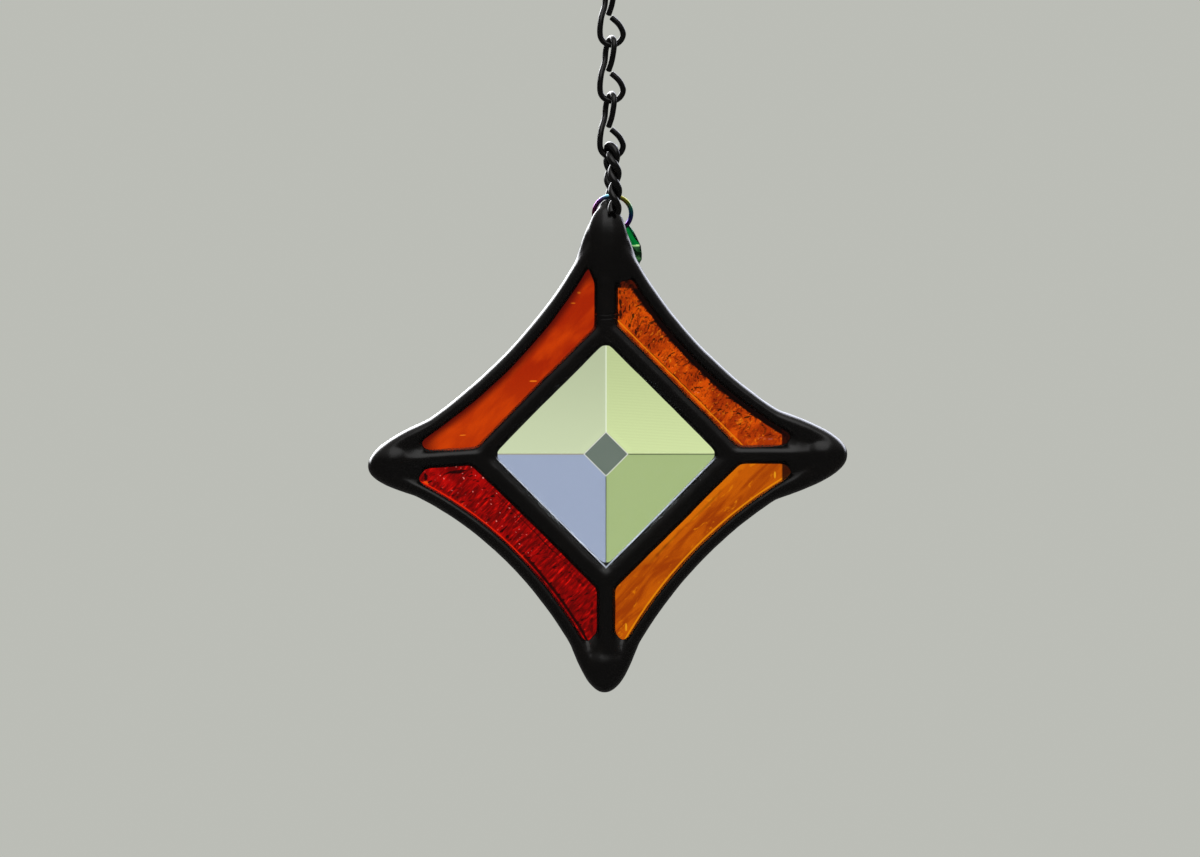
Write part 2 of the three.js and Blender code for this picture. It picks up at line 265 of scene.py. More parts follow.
class SuncatcherStage(bpy.types.PropertyGroup):
    """Backdrop, floor, lights and camera."""

    backdrop: colour_setting("Backdrop", "Colour behind the star", (0.50, 0.51, 0.47))
    lens: FloatProperty(
        name="Lens", description="Focal length in millimetres", default=200, min=50, max=400,
    )
    view_width: FloatProperty(
        name="View width", description="Width that the camera sees at the star",
        unit="LENGTH", default=0.1727, min=0.05, max=1,
    )
    floor_drop: FloatProperty(
        name="Floor drop", description="Height of the hanging eye above the floor",
        unit="LENGTH", default=0.45, min=0.15, max=3,
    )


# ---------------------------------------------------------------- mesh helpers


def mesh_of(name, bm):
    """A mesh made of a bmesh, which is freed."""
    mesh = bpy.data.meshes.new(name)
    bm.to_mesh(mesh)
    bm.free()
    return mesh


def take_in(bm, mesh):
    """Add a mesh to a bmesh, and remove its data-block."""
    bm.from_mesh(mesh)
    bpy.data.meshes.remove(mesh)


def finished(name, bm, material, nodes, frame_matrix=STAR_FRAME, sharp=None):
    """Turn a bmesh in millimetres into a piece of the part, and free the bmesh."""
    bm.transform(frame_matrix)
    return piece_of(name, mesh_of(name, bm), material, nodes, sharp)


def piece_of(name, mesh, material, nodes, sharp=None):
    """An object for a finished mesh, riding on the part and standing for its nodes."""
    mesh.materials.clear()
    mesh.materials.append(material)
    if sharp is None:
        mesh.shade_flat()
    else:
        mesh.shade_smooth()
        mesh.set_sharp_from_angle(angle=sharp)
    piece = bpy.data.objects.new(name, mesh)
    bpy.context.scene.collection.objects.link(piece)
    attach(piece, "root")
    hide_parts(*nodes)
    return piece


def modified(mesh, kind, **settings):
    """The mesh that one modifier makes of another mesh, whose data-block is removed."""
    bearer = bpy.data.objects.new("work", mesh)
    bpy.context.scene.collection.objects.link(bearer)
    modifier = bearer.modifiers.new("work", kind)
    for key, value in settings.items():
        setattr(modifier, key, value)
    shaped = bearer.evaluated_get(bpy.context.evaluated_depsgraph_get())
    made = bpy.data.meshes.new_from_object(shaped)
    bpy.data.objects.remove(bearer)
    bpy.data.meshes.remove(mesh)
    return made


def swept(bm, frames, sides):
    """Pull a unit circle through a list of frames, and close both ends."""
    made = bmesh.ops.create_circle(bm, cap_ends=True, segments=sides, radius=1, matrix=frames[0])
    ring = made["verts"]
    edges = list({edge for vert in ring for edge in vert.link_edges})
    for before, after in zip(frames, frames[1:]):
        grown = bmesh.ops.extrude_edge_only(bm, edges=edges)["geom"]
        verts = [item for item in grown if isinstance(item, bmesh.types.BMVert)]
        edges = [item for item in grown if isinstance(item, bmesh.types.BMEdge)]
        bmesh.ops.transform(bm, matrix=after @ before.inverted(), verts=verts)
    bmesh.ops.contextual_create(bm, geom=edges)


def wire_frames(path, radius):
    """Frames along a path for a round wire whose cut ends are slightly rounded."""
    frames = []
    tangent = (path[1] - path[0]).normalized()
    turn = Vector((0, 0, 1)).rotation_difference(tangent)
    for i, point in enumerate(path):
        ahead = path[min(i + 1, len(path) - 1)] - path[max(i - 1, 0)]
        turn = tangent.rotation_difference(ahead.normalized()) @ turn
        tangent = ahead.normalized()
        size = CUT_NARROWING if i in (0, len(path) - 1) else 1
        scale = Matrix.Diagonal((radius * size, radius * size, radius, 1))
        frames.append(Matrix.Translation(point) @ turn.to_matrix().to_4x4() @ scale)
    return frames


def with_ends(path, step):
    """The path with an extra point close to each end, for the rounding of the cut."""
    first = path[0] + (path[1] - path[0]).normalized() * step
    last = path[-1] + (path[-2] - path[-1]).normalized() * step
    return [path[0], first, *path[1:-1], last, path[-1]]


def smooth_path(points, steps):
    """Points along a centripetal Catmull-Rom curve through the given ones."""
    pts = [Vector(p) for p in points]
    pts = [pts[0] * 2 - pts[1], *pts, pts[-1] * 2 - pts[-2]]
    path = []
    for a, b, c, d in zip(pts, pts[1:], pts[2:], pts[3:]):
        ta = 0.0
        tb = ta + sqrt((b - a).length)
        tc = tb + sqrt((c - b).length)
        td = tc + sqrt((d - c).length)
        for i in range(steps):
            t = tb + (tc - tb) * i / steps
            ab = a * ((tb - t) / (tb - ta)) + b * ((t - ta) / (tb - ta))
            bc = b * ((tc - t) / (tc - tb)) + c * ((t - tb) / (tc - tb))
            cd = c * ((td - t) / (td - tc)) + d * ((t - tc) / (td - tc))
            abc = ab * ((tc - t) / (tc - ta)) + bc * ((t - ta) / (tc - ta))
            bcd = bc * ((td - t) / (td - tb)) + cd * ((t - tb) / (td - tb))
            path.append(abc * ((tc - t) / (tc - tb)) + bcd * ((t - tb) / (tc - tb)))
    path.append(pts[-2].copy())
    return path


def evenly(path, count):
    """The same path as a given number of evenly spaced points, with its length."""
    lengths = [0.0]
    for a, b in zip(path, path[1:]):
        lengths.append(lengths[-1] + (b - a).length)
    total = lengths[-1]
    points = []
    place = 0
    for i in range(count):
        wanted = total * i / (count - 1)
        while place < len(path) - 2 and lengths[place + 1] < wanted:
            place += 1
        share = (wanted - lengths[place]) / (lengths[place + 1] - lengths[place])
        points.append(path[place].lerp(path[place + 1], min(share, 1)))
    return points, total


def sagged(bm):
    """Bend a piece of the star down towards its left tip."""
    for vert in bm.verts:
        past = max(0, -vert.co.x - SAG_FROM) / (TIP_REACH - SAG_FROM)
        vert.co.z -= LEFT_TIP_SAG * past ** 2


def quarter_turn(turn):
    """The clockwise turn, seen from the front, that brings the upper right quarter to another."""
    return Matrix.Rotation(turn * QUARTER, 4, "Y")


# ------------------------------------------------------------ material helpers


def fill(tree, sockets, values):
    """Set or link input sockets, each given by its name or its number."""
    for key, value in values.items():
        if isinstance(value, bpy.types.NodeSocket):
            tree.links.new(value, sockets[key])
        else:
            sockets[key].default_value = value


def add(tree, kind, inputs=None, **settings):
    """A shader node with its settings, and its inputs set or linked."""
    made = tree.nodes.new(kind)
    for key, value in settings.items():
        setattr(made, key, value)
    fill(tree, made.inputs, inputs or {})
    return made


def maths(tree, operation, *values):
    """The result of a Math node."""
    return add(tree, "ShaderNodeMath", dict(enumerate(values)), operation=operation).outputs[0]


def times(tree, first, second):
    return maths(tree, "MULTIPLY", first, second)


def split(tree, vector):
    """A vector's three parts."""
    return add(tree, "ShaderNodeSeparateXYZ", {"Vector": vector}).outputs


def ramped(tree, value, low, high, start=0.0, finish=1.0):
    """A value eased from one level to another between two limits."""
    return add(tree, "ShaderNodeMapRange", {
        "Value": value, "From Min": low, "From Max": high, "To Min": start, "To Max": finish,
    }, interpolation_type="SMOOTHSTEP").outputs["Result"]


def between(tree, value, low, high, soft):
    """A soft mask that is one where a value lies between two limits."""
    rise = ramped(tree, value, low - soft, low)
    fall = ramped(tree, value, high, high + soft, 1, 0)
    return times(tree, rise, fall)


def rgba(colour):
    return (*colour, 1)


def colour_mix(tree, factor, first, second):
    """The mix of two colours."""
    node = add(tree, "ShaderNodeMix", data_type="RGBA")
    sockets = [socket for socket in node.inputs if socket.enabled]
    fill(tree, sockets, dict(enumerate((factor, first, second))))
    return next(socket for socket in node.outputs if socket.enabled)


def painted(tree, under, colour, mask, strength=1):
    """A colour with another laid over it where a mask lets it show."""
    if strength != 1:
        mask = times(tree, mask, strength)
    return colour_mix(tree, mask, under, rgba(colour))


def new_material(name):
    """A material with an empty tree but for its Principled BSDF, and that shader."""
    material = bpy.data.materials.new(name)
    material.use_nodes = True
    tree = material.node_tree
    tree.nodes.clear()
    shader = add(tree, "ShaderNodeBsdfPrincipled")
    add(tree, "ShaderNodeOutputMaterial", {"Surface": shader.outputs["BSDF"]})
    return material, tree, shader


def star_millimetres(tree):
    """Object coordinates as millimetres from the star's middle."""
    place = add(tree, "ShaderNodeTexCoord").outputs["Object"]
    return add(tree, "ShaderNodeMapping", {
        "Vector": place, "Location": -STAR / MM, "Scale": (1 / MM,) * 3,
    }).outputs["Vector"]


def new_group(name, inputs, outputs):
    """An empty shader node group with its sockets, its input node and its output node."""
    group = bpy.data.node_groups.new(name, "ShaderNodeTree")
    for label, kind, default in inputs:
        socket = group.interface.new_socket(label, in_out="INPUT", socket_type=kind)
        if default is not None:
            socket.default_value = default
    for label, kind in outputs:
        group.interface.new_socket(label, in_out="OUTPUT", socket_type=kind)
    return group, add(group, "NodeGroupInput"), add(group, "NodeGroupOutput")


def grouped(tree, group, inputs):
    """The outputs of a node that holds a group, with its inputs set or linked."""
    return add(tree, "ShaderNodeGroup", inputs, node_tree=group).outputs


def worked_metal_group():
    """Hand-worked black metal: rubbed patches, a mottled sheen and a soft unevenness."""
    name = "worked_metal"
    if name in bpy.data.node_groups:
        return bpy.data.node_groups[name]
    group, start, end = new_group(
        name,
        [
            ("Vector", "NodeSocketVector", None),
            ("Color", "NodeSocketColor", (0.01, 0.01, 0.01, 1)),
            ("Rubbed", "NodeSocketColor", (0.03, 0.025, 0.02, 1)),
            ("Patch Scale", "NodeSocketFloat", 0.35),
            ("Roughness", "NodeSocketFloat", 0.35),
            ("Roughness Spread", "NodeSocketFloat", 0.12),
            ("Unevenness", "NodeSocketFloat", 0.15),
        ],
        [
            ("Color", "NodeSocketColor"),
            ("Roughness", "NodeSocketFloat"),
            ("Normal", "NodeSocketVector"),
        ],
    )
    value = start.outputs
    patches = add(group, "ShaderNodeTexNoise", {
        "Vector": value["Vector"], "Scale": value["Patch Scale"], "Detail": 5, "Roughness": 0.6,
    }).outputs["Fac"]
    mask = ramped(group, patches, 0.5, 0.78)
    fine = add(group, "ShaderNodeTexNoise", {
        "Vector": value["Vector"], "Scale": 2.6, "Detail": 6, "Roughness": 0.62,
    }).outputs["Fac"]
    spread = times(group, maths(group, "SUBTRACT", fine, 0.5), value["Roughness Spread"])
    bump = add(group, "ShaderNodeBump", {
        "Height": fine, "Strength": value["Unevenness"], "Distance": 0.0001,
    })
    fill(group, end.inputs, {
        "Color": colour_mix(group, mask, value["Color"], value["Rubbed"]),
        "Roughness": maths(group, "ADD", spread, value["Roughness"]),
        "Normal": bump.outputs["Normal"],
    })
    return group


# -------------------------------------------------------------- metal materials


def neck_creases(tree, x, z):
    """Two fine arched creases across the neck below the top tip."""
    square = times(tree, x, x)
    arched = maths(tree, "MULTIPLY_ADD", square, CREASE_ARCH, z)
    rings = [between(tree, arched, low, high, CREASE_SOFT) for low, high in NECK_CREASES]
    return times(tree, maths(tree, "ADD", *rings), ramped(tree, square, 4.5, 6.5, 1, 0))


def painted_glint_edge(tree, x, z):
    """A painted highlight: a thin pale glint of light on the solder along the lower sides of the
    square's window.
    """
    width = maths(tree, "ABSOLUTE", x)
    around = maths(tree, "SUBTRACT", width, z)
    edge = between(tree, around, *PAINTED_GLINT_EDGE, PAINTED_GLINT_SOFT)
    return times(tree, edge, ramped(tree, width, 15.4, 15.9, 1, 0))


def solder_material():
    """Black-patinated solder."""
    material, tree, shader = new_material("black_patina_solder")
    places = star_millimetres(tree)
    worked = grouped(tree, worked_metal_group(), {
        "Vector": places,
        "Color": rgba(bpy.context.scene.suncatcher_metal.patina),
        "Rubbed": (0.010, 0.008, 0.0065, 1),
        "Patch Scale": 0.3,
        "Roughness": 0.25,
        "Roughness Spread": 0.06,
        "Unevenness": 0.02,
    })
    x, _, z = split(tree, places)
    normal = add(tree, "ShaderNodeBump", {
        "Height": neck_creases(tree, x, z), "Strength": 1.0, "Distance": 0.00012,
        "Normal": worked["Normal"],
    }, invert=True).outputs["Normal"]
    fill(tree, shader.inputs, {
        # The base colour carries a painted highlight, a pale blue-white glint along the lower
        # window's edge.
        "Base Color": painted(tree, worked["Color"], (0.72, 0.78, 0.92), painted_glint_edge(tree, x, z)),
        "Roughness": worked["Roughness"],
        "Normal": normal,
        "Specular IOR Level": 0.42,
    })
    return material


def wire_material():
    """Black enamelled wire."""
    material, tree, shader = new_material("black_wire")
    worked = grouped(tree, worked_metal_group(), {
        "Vector": star_millimetres(tree),
        "Color": rgba(bpy.context.scene.suncatcher_metal.wire),
        "Rubbed": (0.012, 0.009, 0.007, 1),
        "Patch Scale": 0.9,
        "Roughness": 0.26,
        "Roughness Spread": 0.12,
        "Unevenness": 0.05,
    })
    fill(tree, shader.inputs, {
        "Base Color": worked["Color"],
        "Roughness": worked["Roughness"],
        "Normal": worked["Normal"],
    })
    return material


def rainbow_material():
    """Heat-coloured metal whose hue runs round the ring."""
    material, tree, shader = new_material("rainbow_metal")
    centred = add(tree, "ShaderNodeVectorMath", {
        0: star_millimetres(tree), 1: RING_CENTRE,
    }, operation="SUBTRACT").outputs["Vector"]
    x, _, z = split(tree, centred)
    turn = add(tree, "ShaderNodeMapRange", {
        "Value": maths(tree, "ARCTAN2", z, x), "From Min": -pi, "From Max": pi,
    }).outputs["Result"]
    ramp = add(tree, "ShaderNodeValToRGB", {"Fac": turn})
    stops = ramp.color_ramp.elements
    for stop, (position, hue) in zip(stops, (RING_HUES[0], RING_HUES[-1])):
        stop.position = position
        stop.color = rgba(hue)
    for position, hue in RING_HUES[1:-1]:
        stops.new(position).color = rgba(hue)
    fill(tree, shader.inputs, {
        "Base Color": ramp.outputs["Color"], "Metallic": 1, "Roughness": 0.22,
    })
    return material


# -------------------------------------------------------------- glass materials


def make_glass(tree, shader, colour, roughness, ior=1.5):
    """See-through glass of one colour, or of a colour that changes over its surface."""
    fill(tree, shader.inputs, {
        "Base Color": colour, "Transmission Weight": 1, "IOR": ior, "Roughness": roughness,
    })


def clear_material():
    """Clear plate glass, with faint grinding lines on its upper right facet."""
    material, tree, shader = new_material("clear_glass")
    base = rgba(bpy.context.scene.suncatcher_glass.clear)
    x, y, z = split(tree, star_millimetres(tree))
    tilted = maths(tree, "MULTIPLY_ADD", x, 0.06, z)
    waves = maths(tree, "SINE", times(tree, tilted, tau / GRINDING_PITCH))
    lines = ramped(tree, waves, -0.6, 1.0, 0, 0.05)
    corner = times(tree, ramped(tree, x, 0.1, 0.6), ramped(tree, z, 0.1, 0.6))
    corner = times(tree, corner, ramped(tree, y, -1.3, -1.1, 1, 0))
    colour = painted(tree, base, (0.2, 0.25, 0.2), times(tree, lines, corner))
    make_glass(tree, shader, colour, 0.0, 1.52)
    return material


def green_material():
    """Deep green glass, darker below its upper facet edge, with painted highlights along two facet
    edges.
    """
    material, tree, shader = new_material("green_glass")
    height = split(tree, star_millimetres(tree))["Z"]
    base = rgba(bpy.context.scene.suncatcher_glass.green)
    colour = colour_mix(tree, ramped(tree, height, 29.9, 30.3), (0.033, 0.117, 0.073, 1), base)
    # Painted highlight: a bright mint line along the upper facet edge.
    upper = between(tree, height, 30.0, 30.2, 0.06)
    colour = painted(tree, colour, (0.62, 1.0, 0.75), upper)
    # Painted highlight, fainter: a second bright line along a lower facet edge.
    lower = between(tree, height, 28.25, 28.38, 0.06)
    colour = painted(tree, colour, (0.4, 0.9, 0.6), lower, 0.4)
    make_glass(tree, shader, colour, 0.0, 1.2)
    return material


def strip_group():
    """A pane's own places: along the strip, across it, from the outline, and to its two ends."""
    name = "strip_places"
    if name in bpy.data.node_groups:
        return bpy.data.node_groups[name]
    group, start, end = new_group(
        name,
        [("Strip", "NodeSocketVector", None)],
        [
            ("Place", "NodeSocketVector"),
            ("Across", "NodeSocketFloat"),
            ("Rim", "NodeSocketFloat"),
            ("Reach", "NodeSocketFloat"),
            ("Start", "NodeSocketFloat"),
            ("End", "NodeSocketFloat"),
        ],
    )
    outward, upward, rim = split(group, start.outputs["Strip"])
    flat = add(group, "ShaderNodeCombineXYZ", {"X": outward, "Y": upward}).outputs[0]
    turned = add(group, "ShaderNodeMapping", {
        "Vector": flat, "Rotation": (0, 0, radians(45)),
    }).outputs["Vector"]
    fill(group, end.inputs, {
        "Place": turned,
        "Across": split(group, turned)["Y"],
        "Rim": rim,
        "Reach": maths(group, "MAXIMUM", outward, upward),
        "Start": upward,
        "End": outward,
    })
    return group


def pane_start(name):
    """A pane's material with its own places: material, tree, shader and the places' outputs."""
    material, tree, shader = new_material(name)
    strip = add(tree, "ShaderNodeAttribute", attribute_name="strip").outputs["Vector"]
    return material, tree, shader, grouped(tree, strip_group(), {"Strip": strip})


def strip_noise(tree, places, stretch, detail=3, distortion=0.3):
    """Noise stretched along or across the strip."""
    scaled = add(tree, "ShaderNodeMapping", {
        "Vector": places["Place"], "Scale": (*stretch, 1),
    }).outputs["Vector"]
    return add(tree, "ShaderNodeTexNoise", {
        "Vector": scaled, "Scale": 1.0, "Detail": detail, "Roughness": 0.55,
        "Distortion": distortion,
    }).outputs["Fac"]


def speck(tree, places, middle, size):
    """A soft oval mask at one place of a pane: its middle and its two half sizes."""
    flat = add(tree, "ShaderNodeCombineXYZ", {"X": places["End"], "Y": places["Start"]}).outputs[0]
    offset = add(tree, "ShaderNodeVectorMath", {
        0: flat, 1: (*middle, 0),
    }, operation="SUBTRACT").outputs[0]
    scaled = add(tree, "ShaderNodeVectorMath", {
        0: offset, 1: (1 / size[0], 1 / size[1], 0),
    }, operation="MULTIPLY").outputs[0]
    span = add(tree, "ShaderNodeVectorMath", {0: scaled}, operation="LENGTH").outputs["Value"]
    return ramped(tree, span, 0.7, 1.1, 1, 0)


def with_specks(tree, places, under, colour, specks):
    """A colour with small bright specks, each given by its middle and its half sizes."""
    for middle, size in specks:
        under = painted(tree, under, colour, speck(tree, places, middle, size))
    return under


def flame_material():
    """Smooth orange-red sheet: faint streaks, painted shade towards the rim and the tips, a few
    bright seeds.
    """
    material, tree, shader, places = pane_start("flame_glass")
    base = rgba(bpy.context.scene.suncatcher_glass.flame)
    streaks = strip_noise(tree, places, (0.13, 0.35))
    colour = painted(tree, base, (0.74, 0.058, 0.0003), ramped(tree, streaks, 0.38, 0.7))
    glow = ramped(tree, places["End"], 14, 4)
    colour = painted(tree, colour, (0.86, 0.085, 0.0004), glow, 0.3)
    seeds = (
        ((10.5, 10.45), (0.13, 0.62)),
        ((21.7, 4.75), (0.1, 0.38)),
        ((23.2, 3.9), (0.16, 0.26)),
        ((3.1, 20.6), (0.09, 0.5)),
    )
    colour = with_specks(tree, places, colour, (1.0, 0.22, 0.008), seeds)
    # Painted shade: the pane darkens towards its rim, where the foil behind shows through.
    shade = ramped(tree, places["Rim"], 2.1, 3.5, 1, 0)
    colour = painted(tree, colour, (0.09, 0.001, 0.0), shade, 0.93)
    # Painted shade towards the pane's tips.
    tips = ramped(tree, places["Reach"], 23.6, 26.2)
    colour = painted(tree, colour, (0.14, 0.003, 0.0), tips, 0.85)
    make_glass(tree, shader, colour, 0.0)
    return material


def orange_material():
    """Crackled orange sheet: a painted highlight along the inner edge, and painted shade along the
    rim and at both ends, where the foil behind shows through.
    """
    material, tree, shader, places = pane_start("orange_glass")
    base = rgba(bpy.context.scene.suncatcher_glass.orange)
    patches = strip_noise(tree, places, (0.42, 0.2), 3, 0.8)
    colour = colour_mix(tree, ramped(tree, patches, 0.40, 0.60), (0.46, 0.04, 0.0, 1), base)
    dark = strip_noise(tree, places, (1.6, 0.7), 4, 1.2)
    colour = painted(tree, colour, (0.22, 0.011, 0.0), ramped(tree, dark, 0.54, 0.64), 0.75)
    flecks = strip_noise(tree, places, (2.4, 1.1), 4, 1.0)
    colour = painted(tree, colour, (0.95, 0.22, 0.005), ramped(tree, flecks, 0.57, 0.69))
    # Painted highlight: a bright line along the pane's inner edge.
    edge = between(tree, places["Across"], 14.72, 14.84, 0.07)
    colour = painted(tree, colour, (1.0, 0.26, 0.004), edge, 0.9)
    # Painted shade: a dark line along the rim, where the foil behind shows through.
    foil_shade = ramped(tree, places["Rim"], 2.62, 2.74, 1, 0)
    colour = painted(tree, colour, (0.006, 0.0003, 0.0), foil_shade)
    # Painted shade at both ends of the pane.
    first = ramped(tree, places["Start"], 23.75, 23.95)
    colour = painted(tree, colour, (0.07, 0.005, 0.0), first, 0.96)
    last = ramped(tree, places["End"], 25.2, 25.4)
    colour = painted(tree, colour, (0.02, 0.001, 0.0), last, 0.98)
    make_glass(tree, shader, colour, 0.03)
    return material


def amber_material():
    """Amber sheet with long streaks, a lighter inner band, a painted highlight line by the rim and
    painted shade at one end.
    """
    material, tree, shader, places = pane_start("amber_glass")
    base = rgba(bpy.context.scene.suncatcher_glass.amber)
    streaks = strip_noise(tree, places, (0.11, 0.6), 4, 0.6)
    colour = colour_mix(tree, ramped(tree, streaks, 0.40, 0.62), (0.42, 0.056, 0.0, 1), base)
    wander = strip_noise(tree, places, (0.25, 0.3), 2, 0.4)
    inner = maths(tree, "MULTIPLY_ADD", wander, 3.0, places["Across"])
    band = times(tree, ramped(tree, inner, 16.6, 17.2, 1, 0), ramped(tree, places["End"], 19, 12))
    colour = painted(tree, colour, (0.86, 0.20, 0.0006), band, 0.85)
    blotches = strip_noise(tree, places, (0.5, 1.1), 3, 1.0)
    colour = painted(tree, colour, (0.95, 0.27, 0.001), ramped(tree, blotches, 0.60, 0.68), 0.7)
    # Painted highlight: a bright line by the rim.
    line = between(tree, places["Rim"], 2.0, 2.14, 0.08)
    colour = painted(tree, colour, (1.0, 0.34, 0.002), line, 0.85)
    # Painted shade at one end of the pane.
    dark = ramped(tree, places["Start"], 25.2, 25.45)
    colour = painted(tree, colour, (0.03, 0.003, 0.0), dark, 0.97)
    marks = (((3.0, 24.3), (0.55, 0.16)), ((24.9, 2.9), (0.6, 0.16)))
    colour = with_specks(tree, places, colour, (1.0, 0.40, 0.01), marks)
    make_glass(tree, shader, colour, 0.0)
    return material


def ruby_material():
    """Deep red rippled sheet: bright specks, the pink ones painted glints, a painted highlight line
    by the rim and a painted shade line where the foil behind shows through.
    """
    material, tree, shader, places = pane_start("ruby_glass")
    base = rgba(bpy.context.scene.suncatcher_glass.ruby)
    combed = strip_noise(tree, places, (2.4, 0.45), 4)
    colour = colour_mix(tree, ramped(tree, combed, 0.40, 0.58), (0.15, 0.0003, 0.0002, 1), base)
    colour = painted(tree, colour, (1.0, 0.009, 0.003), ramped(tree, combed, 0.57, 0.70))
    glow = strip_noise(tree, places, (0.3, 0.3), 2, 0.4)
    colour = painted(tree, colour, (0.75, 0.002, 0.001), ramped(tree, glow, 0.5, 0.7), 0.5)
    # Painted glints: sparse pink specks of reflected light on the upper part of the pane.
    specks = strip_noise(tree, places, (2.0, 2.6), 1, 0.2)
    upper = ramped(tree, places["End"], 9.5, 12.0)
    painted_glints = times(tree, ramped(tree, specks, 0.69, 0.73), upper)
    colour = painted(tree, colour, (1.0, 0.30, 0.27), painted_glints)
    colour = with_specks(tree, places, colour, (1.0, 0.09, 0.004), (((26.0, 3.5), (0.5, 0.42)),))
    # Painted highlight: a bright line by the rim on the upper part.
    line = between(tree, places["Rim"], 2.03, 2.16, 0.08)
    high = ramped(tree, places["End"], 10.0, 13.0)
    colour = painted(tree, colour, (1.0, 0.02, 0.001), times(tree, line, high))
    # Painted shade: a dark line near the rim, the foil behind seen through the glass.
    foil_shade = between(tree, places["Rim"], 2.3, 2.5, 0.1)
    lower = ramped(tree, places["Start"], 12.0, 16.0)
    colour = painted(tree, colour, (0.012, 0.0, 0.0), times(tree, foil_shade, lower))
    make_glass(tree, shader, colour, 0.02)
    return material


# ------------------------------------------------------------------------ glass


def pane_sheet(bm, turn, along, across, shrink=0.0):
    """One quarter's pane: a grid fitted between the square's side and the outline's arc."""
    spoke = SEAM / 2 + shrink
    inner = (BEVEL_SIDE / 2 + SEAM + shrink) * sqrt(2) - spoke
    tip = PANE_TIP - shrink
    outline = QUARTERS[turn]["arc"]
    radius = outline + RIM_COVER + shrink
    reach = asin((ARC_CENTRE - spoke) / radius)
    strip = bm.verts.layers.float_vector.new("strip")
    grid = bmesh.ops.create_grid(bm, x_segments=along, y_segments=across, size=0.5)
    for vert in grid["verts"]:
        u, v = vert.co.x + 0.5, vert.co.y + 0.5
        straight = Vector((spoke + (inner - spoke) * u, 0, inner + (spoke - inner) * u))
        swing = reach + (pi / 2 - 2 * reach) * u
        x = min(ARC_CENTRE - radius * sin(swing), tip)
        z = min(ARC_CENTRE - radius * cos(swing), tip)
        vert.co = straight.lerp(Vector((max(x, spoke), 0, max(z, spoke))), v)
        rim = hypot(vert.co.x - ARC_CENTRE, vert.co.z - ARC_CENTRE) - outline
        vert[strip] = (vert.co.x, vert.co.z, rim)
    return grid["verts"], strip


def clear_of_solder(x, z, rim, quarter):
    """How far a place on a pane lies from the solder: nought beneath it, one in the open."""
    gaps = (
        rim - BEAD_HIDES * quarter["rim"],
        (x + z) / sqrt(2) - BEVEL_WINDOW / 2 - BEAD_HIDES * quarter["square"],
        min(x, z) - SPOKE_HIDES,
        PANE_OPEN_TO - max(x, z),
    )
    open_share = max(0.0, min(1.0, (min(gaps) - RELIEF_GAP) / RELIEF_FADE))
    return open_share * open_share * (3 - 2 * open_share)


def pane_solid(turn, along, across, relief=None, shrink=0.0):
    """A pane with thickness, its front face worked by a relief function of its own places."""
    bm = bmesh.new()
    verts, strip = pane_sheet(bm, turn, along, across, shrink)
    half = PANE_THICKNESS / 2 - shrink
    for vert in verts:
        x, z, rim = vert[strip]
        vert.co.y = -half
        if relief:
            vert.co.y += relief(x, z) * clear_of_solder(x, z, rim, QUARTERS[turn])
    grown = bmesh.ops.extrude_face_region(bm, geom=list(bm.faces), use_keep_orig=True)["geom"]
    for item in grown:
        if isinstance(item, bmesh.types.BMVert):
            item.co.y = half
    bm.transform(quarter_turn(turn))
    sagged(bm)
    bmesh.ops.recalc_face_normals(bm, faces=bm.faces)
    return bm


def strip_places(x, z):
    """Places along the strip and across it, for a pane drawn at the upper right."""
    return (x - z) / sqrt(2), (x + z) / sqrt(2)


def crushed_relief(x, z):
    """A crackled face: short creases that run mostly across the pane, over slow dimples."""
    along, across = strip_places(x, z)
    bend = noise.noise(Vector((along * 0.4, across * 0.4, 0.6)))
    place = Vector((along * 1.05 + 0.6 * bend, across * 0.6, 7.7))
    creases = noise.turbulence(place, 4, True, noise_basis="PERLIN_ORIGINAL",
                               amplitude_scale=0.55, frequency_scale=2.1)
    dimples = noise.noise(Vector((along * 0.45, across * 0.5, 1.4)))
    return 0.10 + 0.11 * (creases - 0.6) + 0.06 * dimples


def amber_relief(x, z):
    """Long soft waves that run with the pane."""
    along, across = strip_places(x, z)
    broad = noise.noise(Vector((along * 0.09, across * 0.6, 12.3)))
    narrow = noise.noise(Vector((along * 0.12, across * 1.3, 5.2)))
    return 0.011 + 0.010 * broad + 0.001 * narrow


def combed_relief(x, z):
    """Fine short ripples across the pane."""
    along, across = strip_places(x, z)
    lean = along - 0.35 * across
    wander = 0.5 * noise.noise(Vector((along * 0.3, across * 0.5, 2.2)))
    ripple = noise.noise(Vector((lean * 1.7 + wander, across * 0.38, 9.5)))
    fine = noise.noise(Vector((lean * 3.6 + wander, across * 0.9, 4.4)))
    broad = noise.noise(Vector((along * 0.35, across * 0.5, 6.1)))
    return 0.08 + 0.052 * ripple + 0.02 * fine + 0.03 * broad


PANES = (
    {"name": "pane_upper_right", "slot": "orange_glass", "finish": orange_material,
     "relief": crushed_relief, "grid": (400, 72)},
    {"name": "pane_lower_right", "slot": "amber_glass", "finish": amber_material,
     "relief": amber_relief, "grid": (180, 56)},
    {"name": "pane_lower_left", "slot": "ruby_glass", "finish": ruby_material,
     "relief": combed_relief, "grid": (480, 60)},
    {"name": "pane_upper_left", "slot": "flame_glass", "finish": flame_material,
     "relief": None, "grid": (60, 4)},
)


class SUNCATCHER_OT_panes(bpy.types.Operator):
    """Make the four coloured panes"""

    bl_idname = "suncatcher.panes"
    bl_label = "Coloured Panes"

    def execute(self, context):
        for turn, pane in enumerate(PANES):
            bm = pane_solid(turn, *pane["grid"], relief=pane["relief"])
            finished(pane["name"].replace("pane", "glass"), bm, pane["finish"](),
                     (pane["name"],), sharp=SHARP)
        return {"FINISHED"}


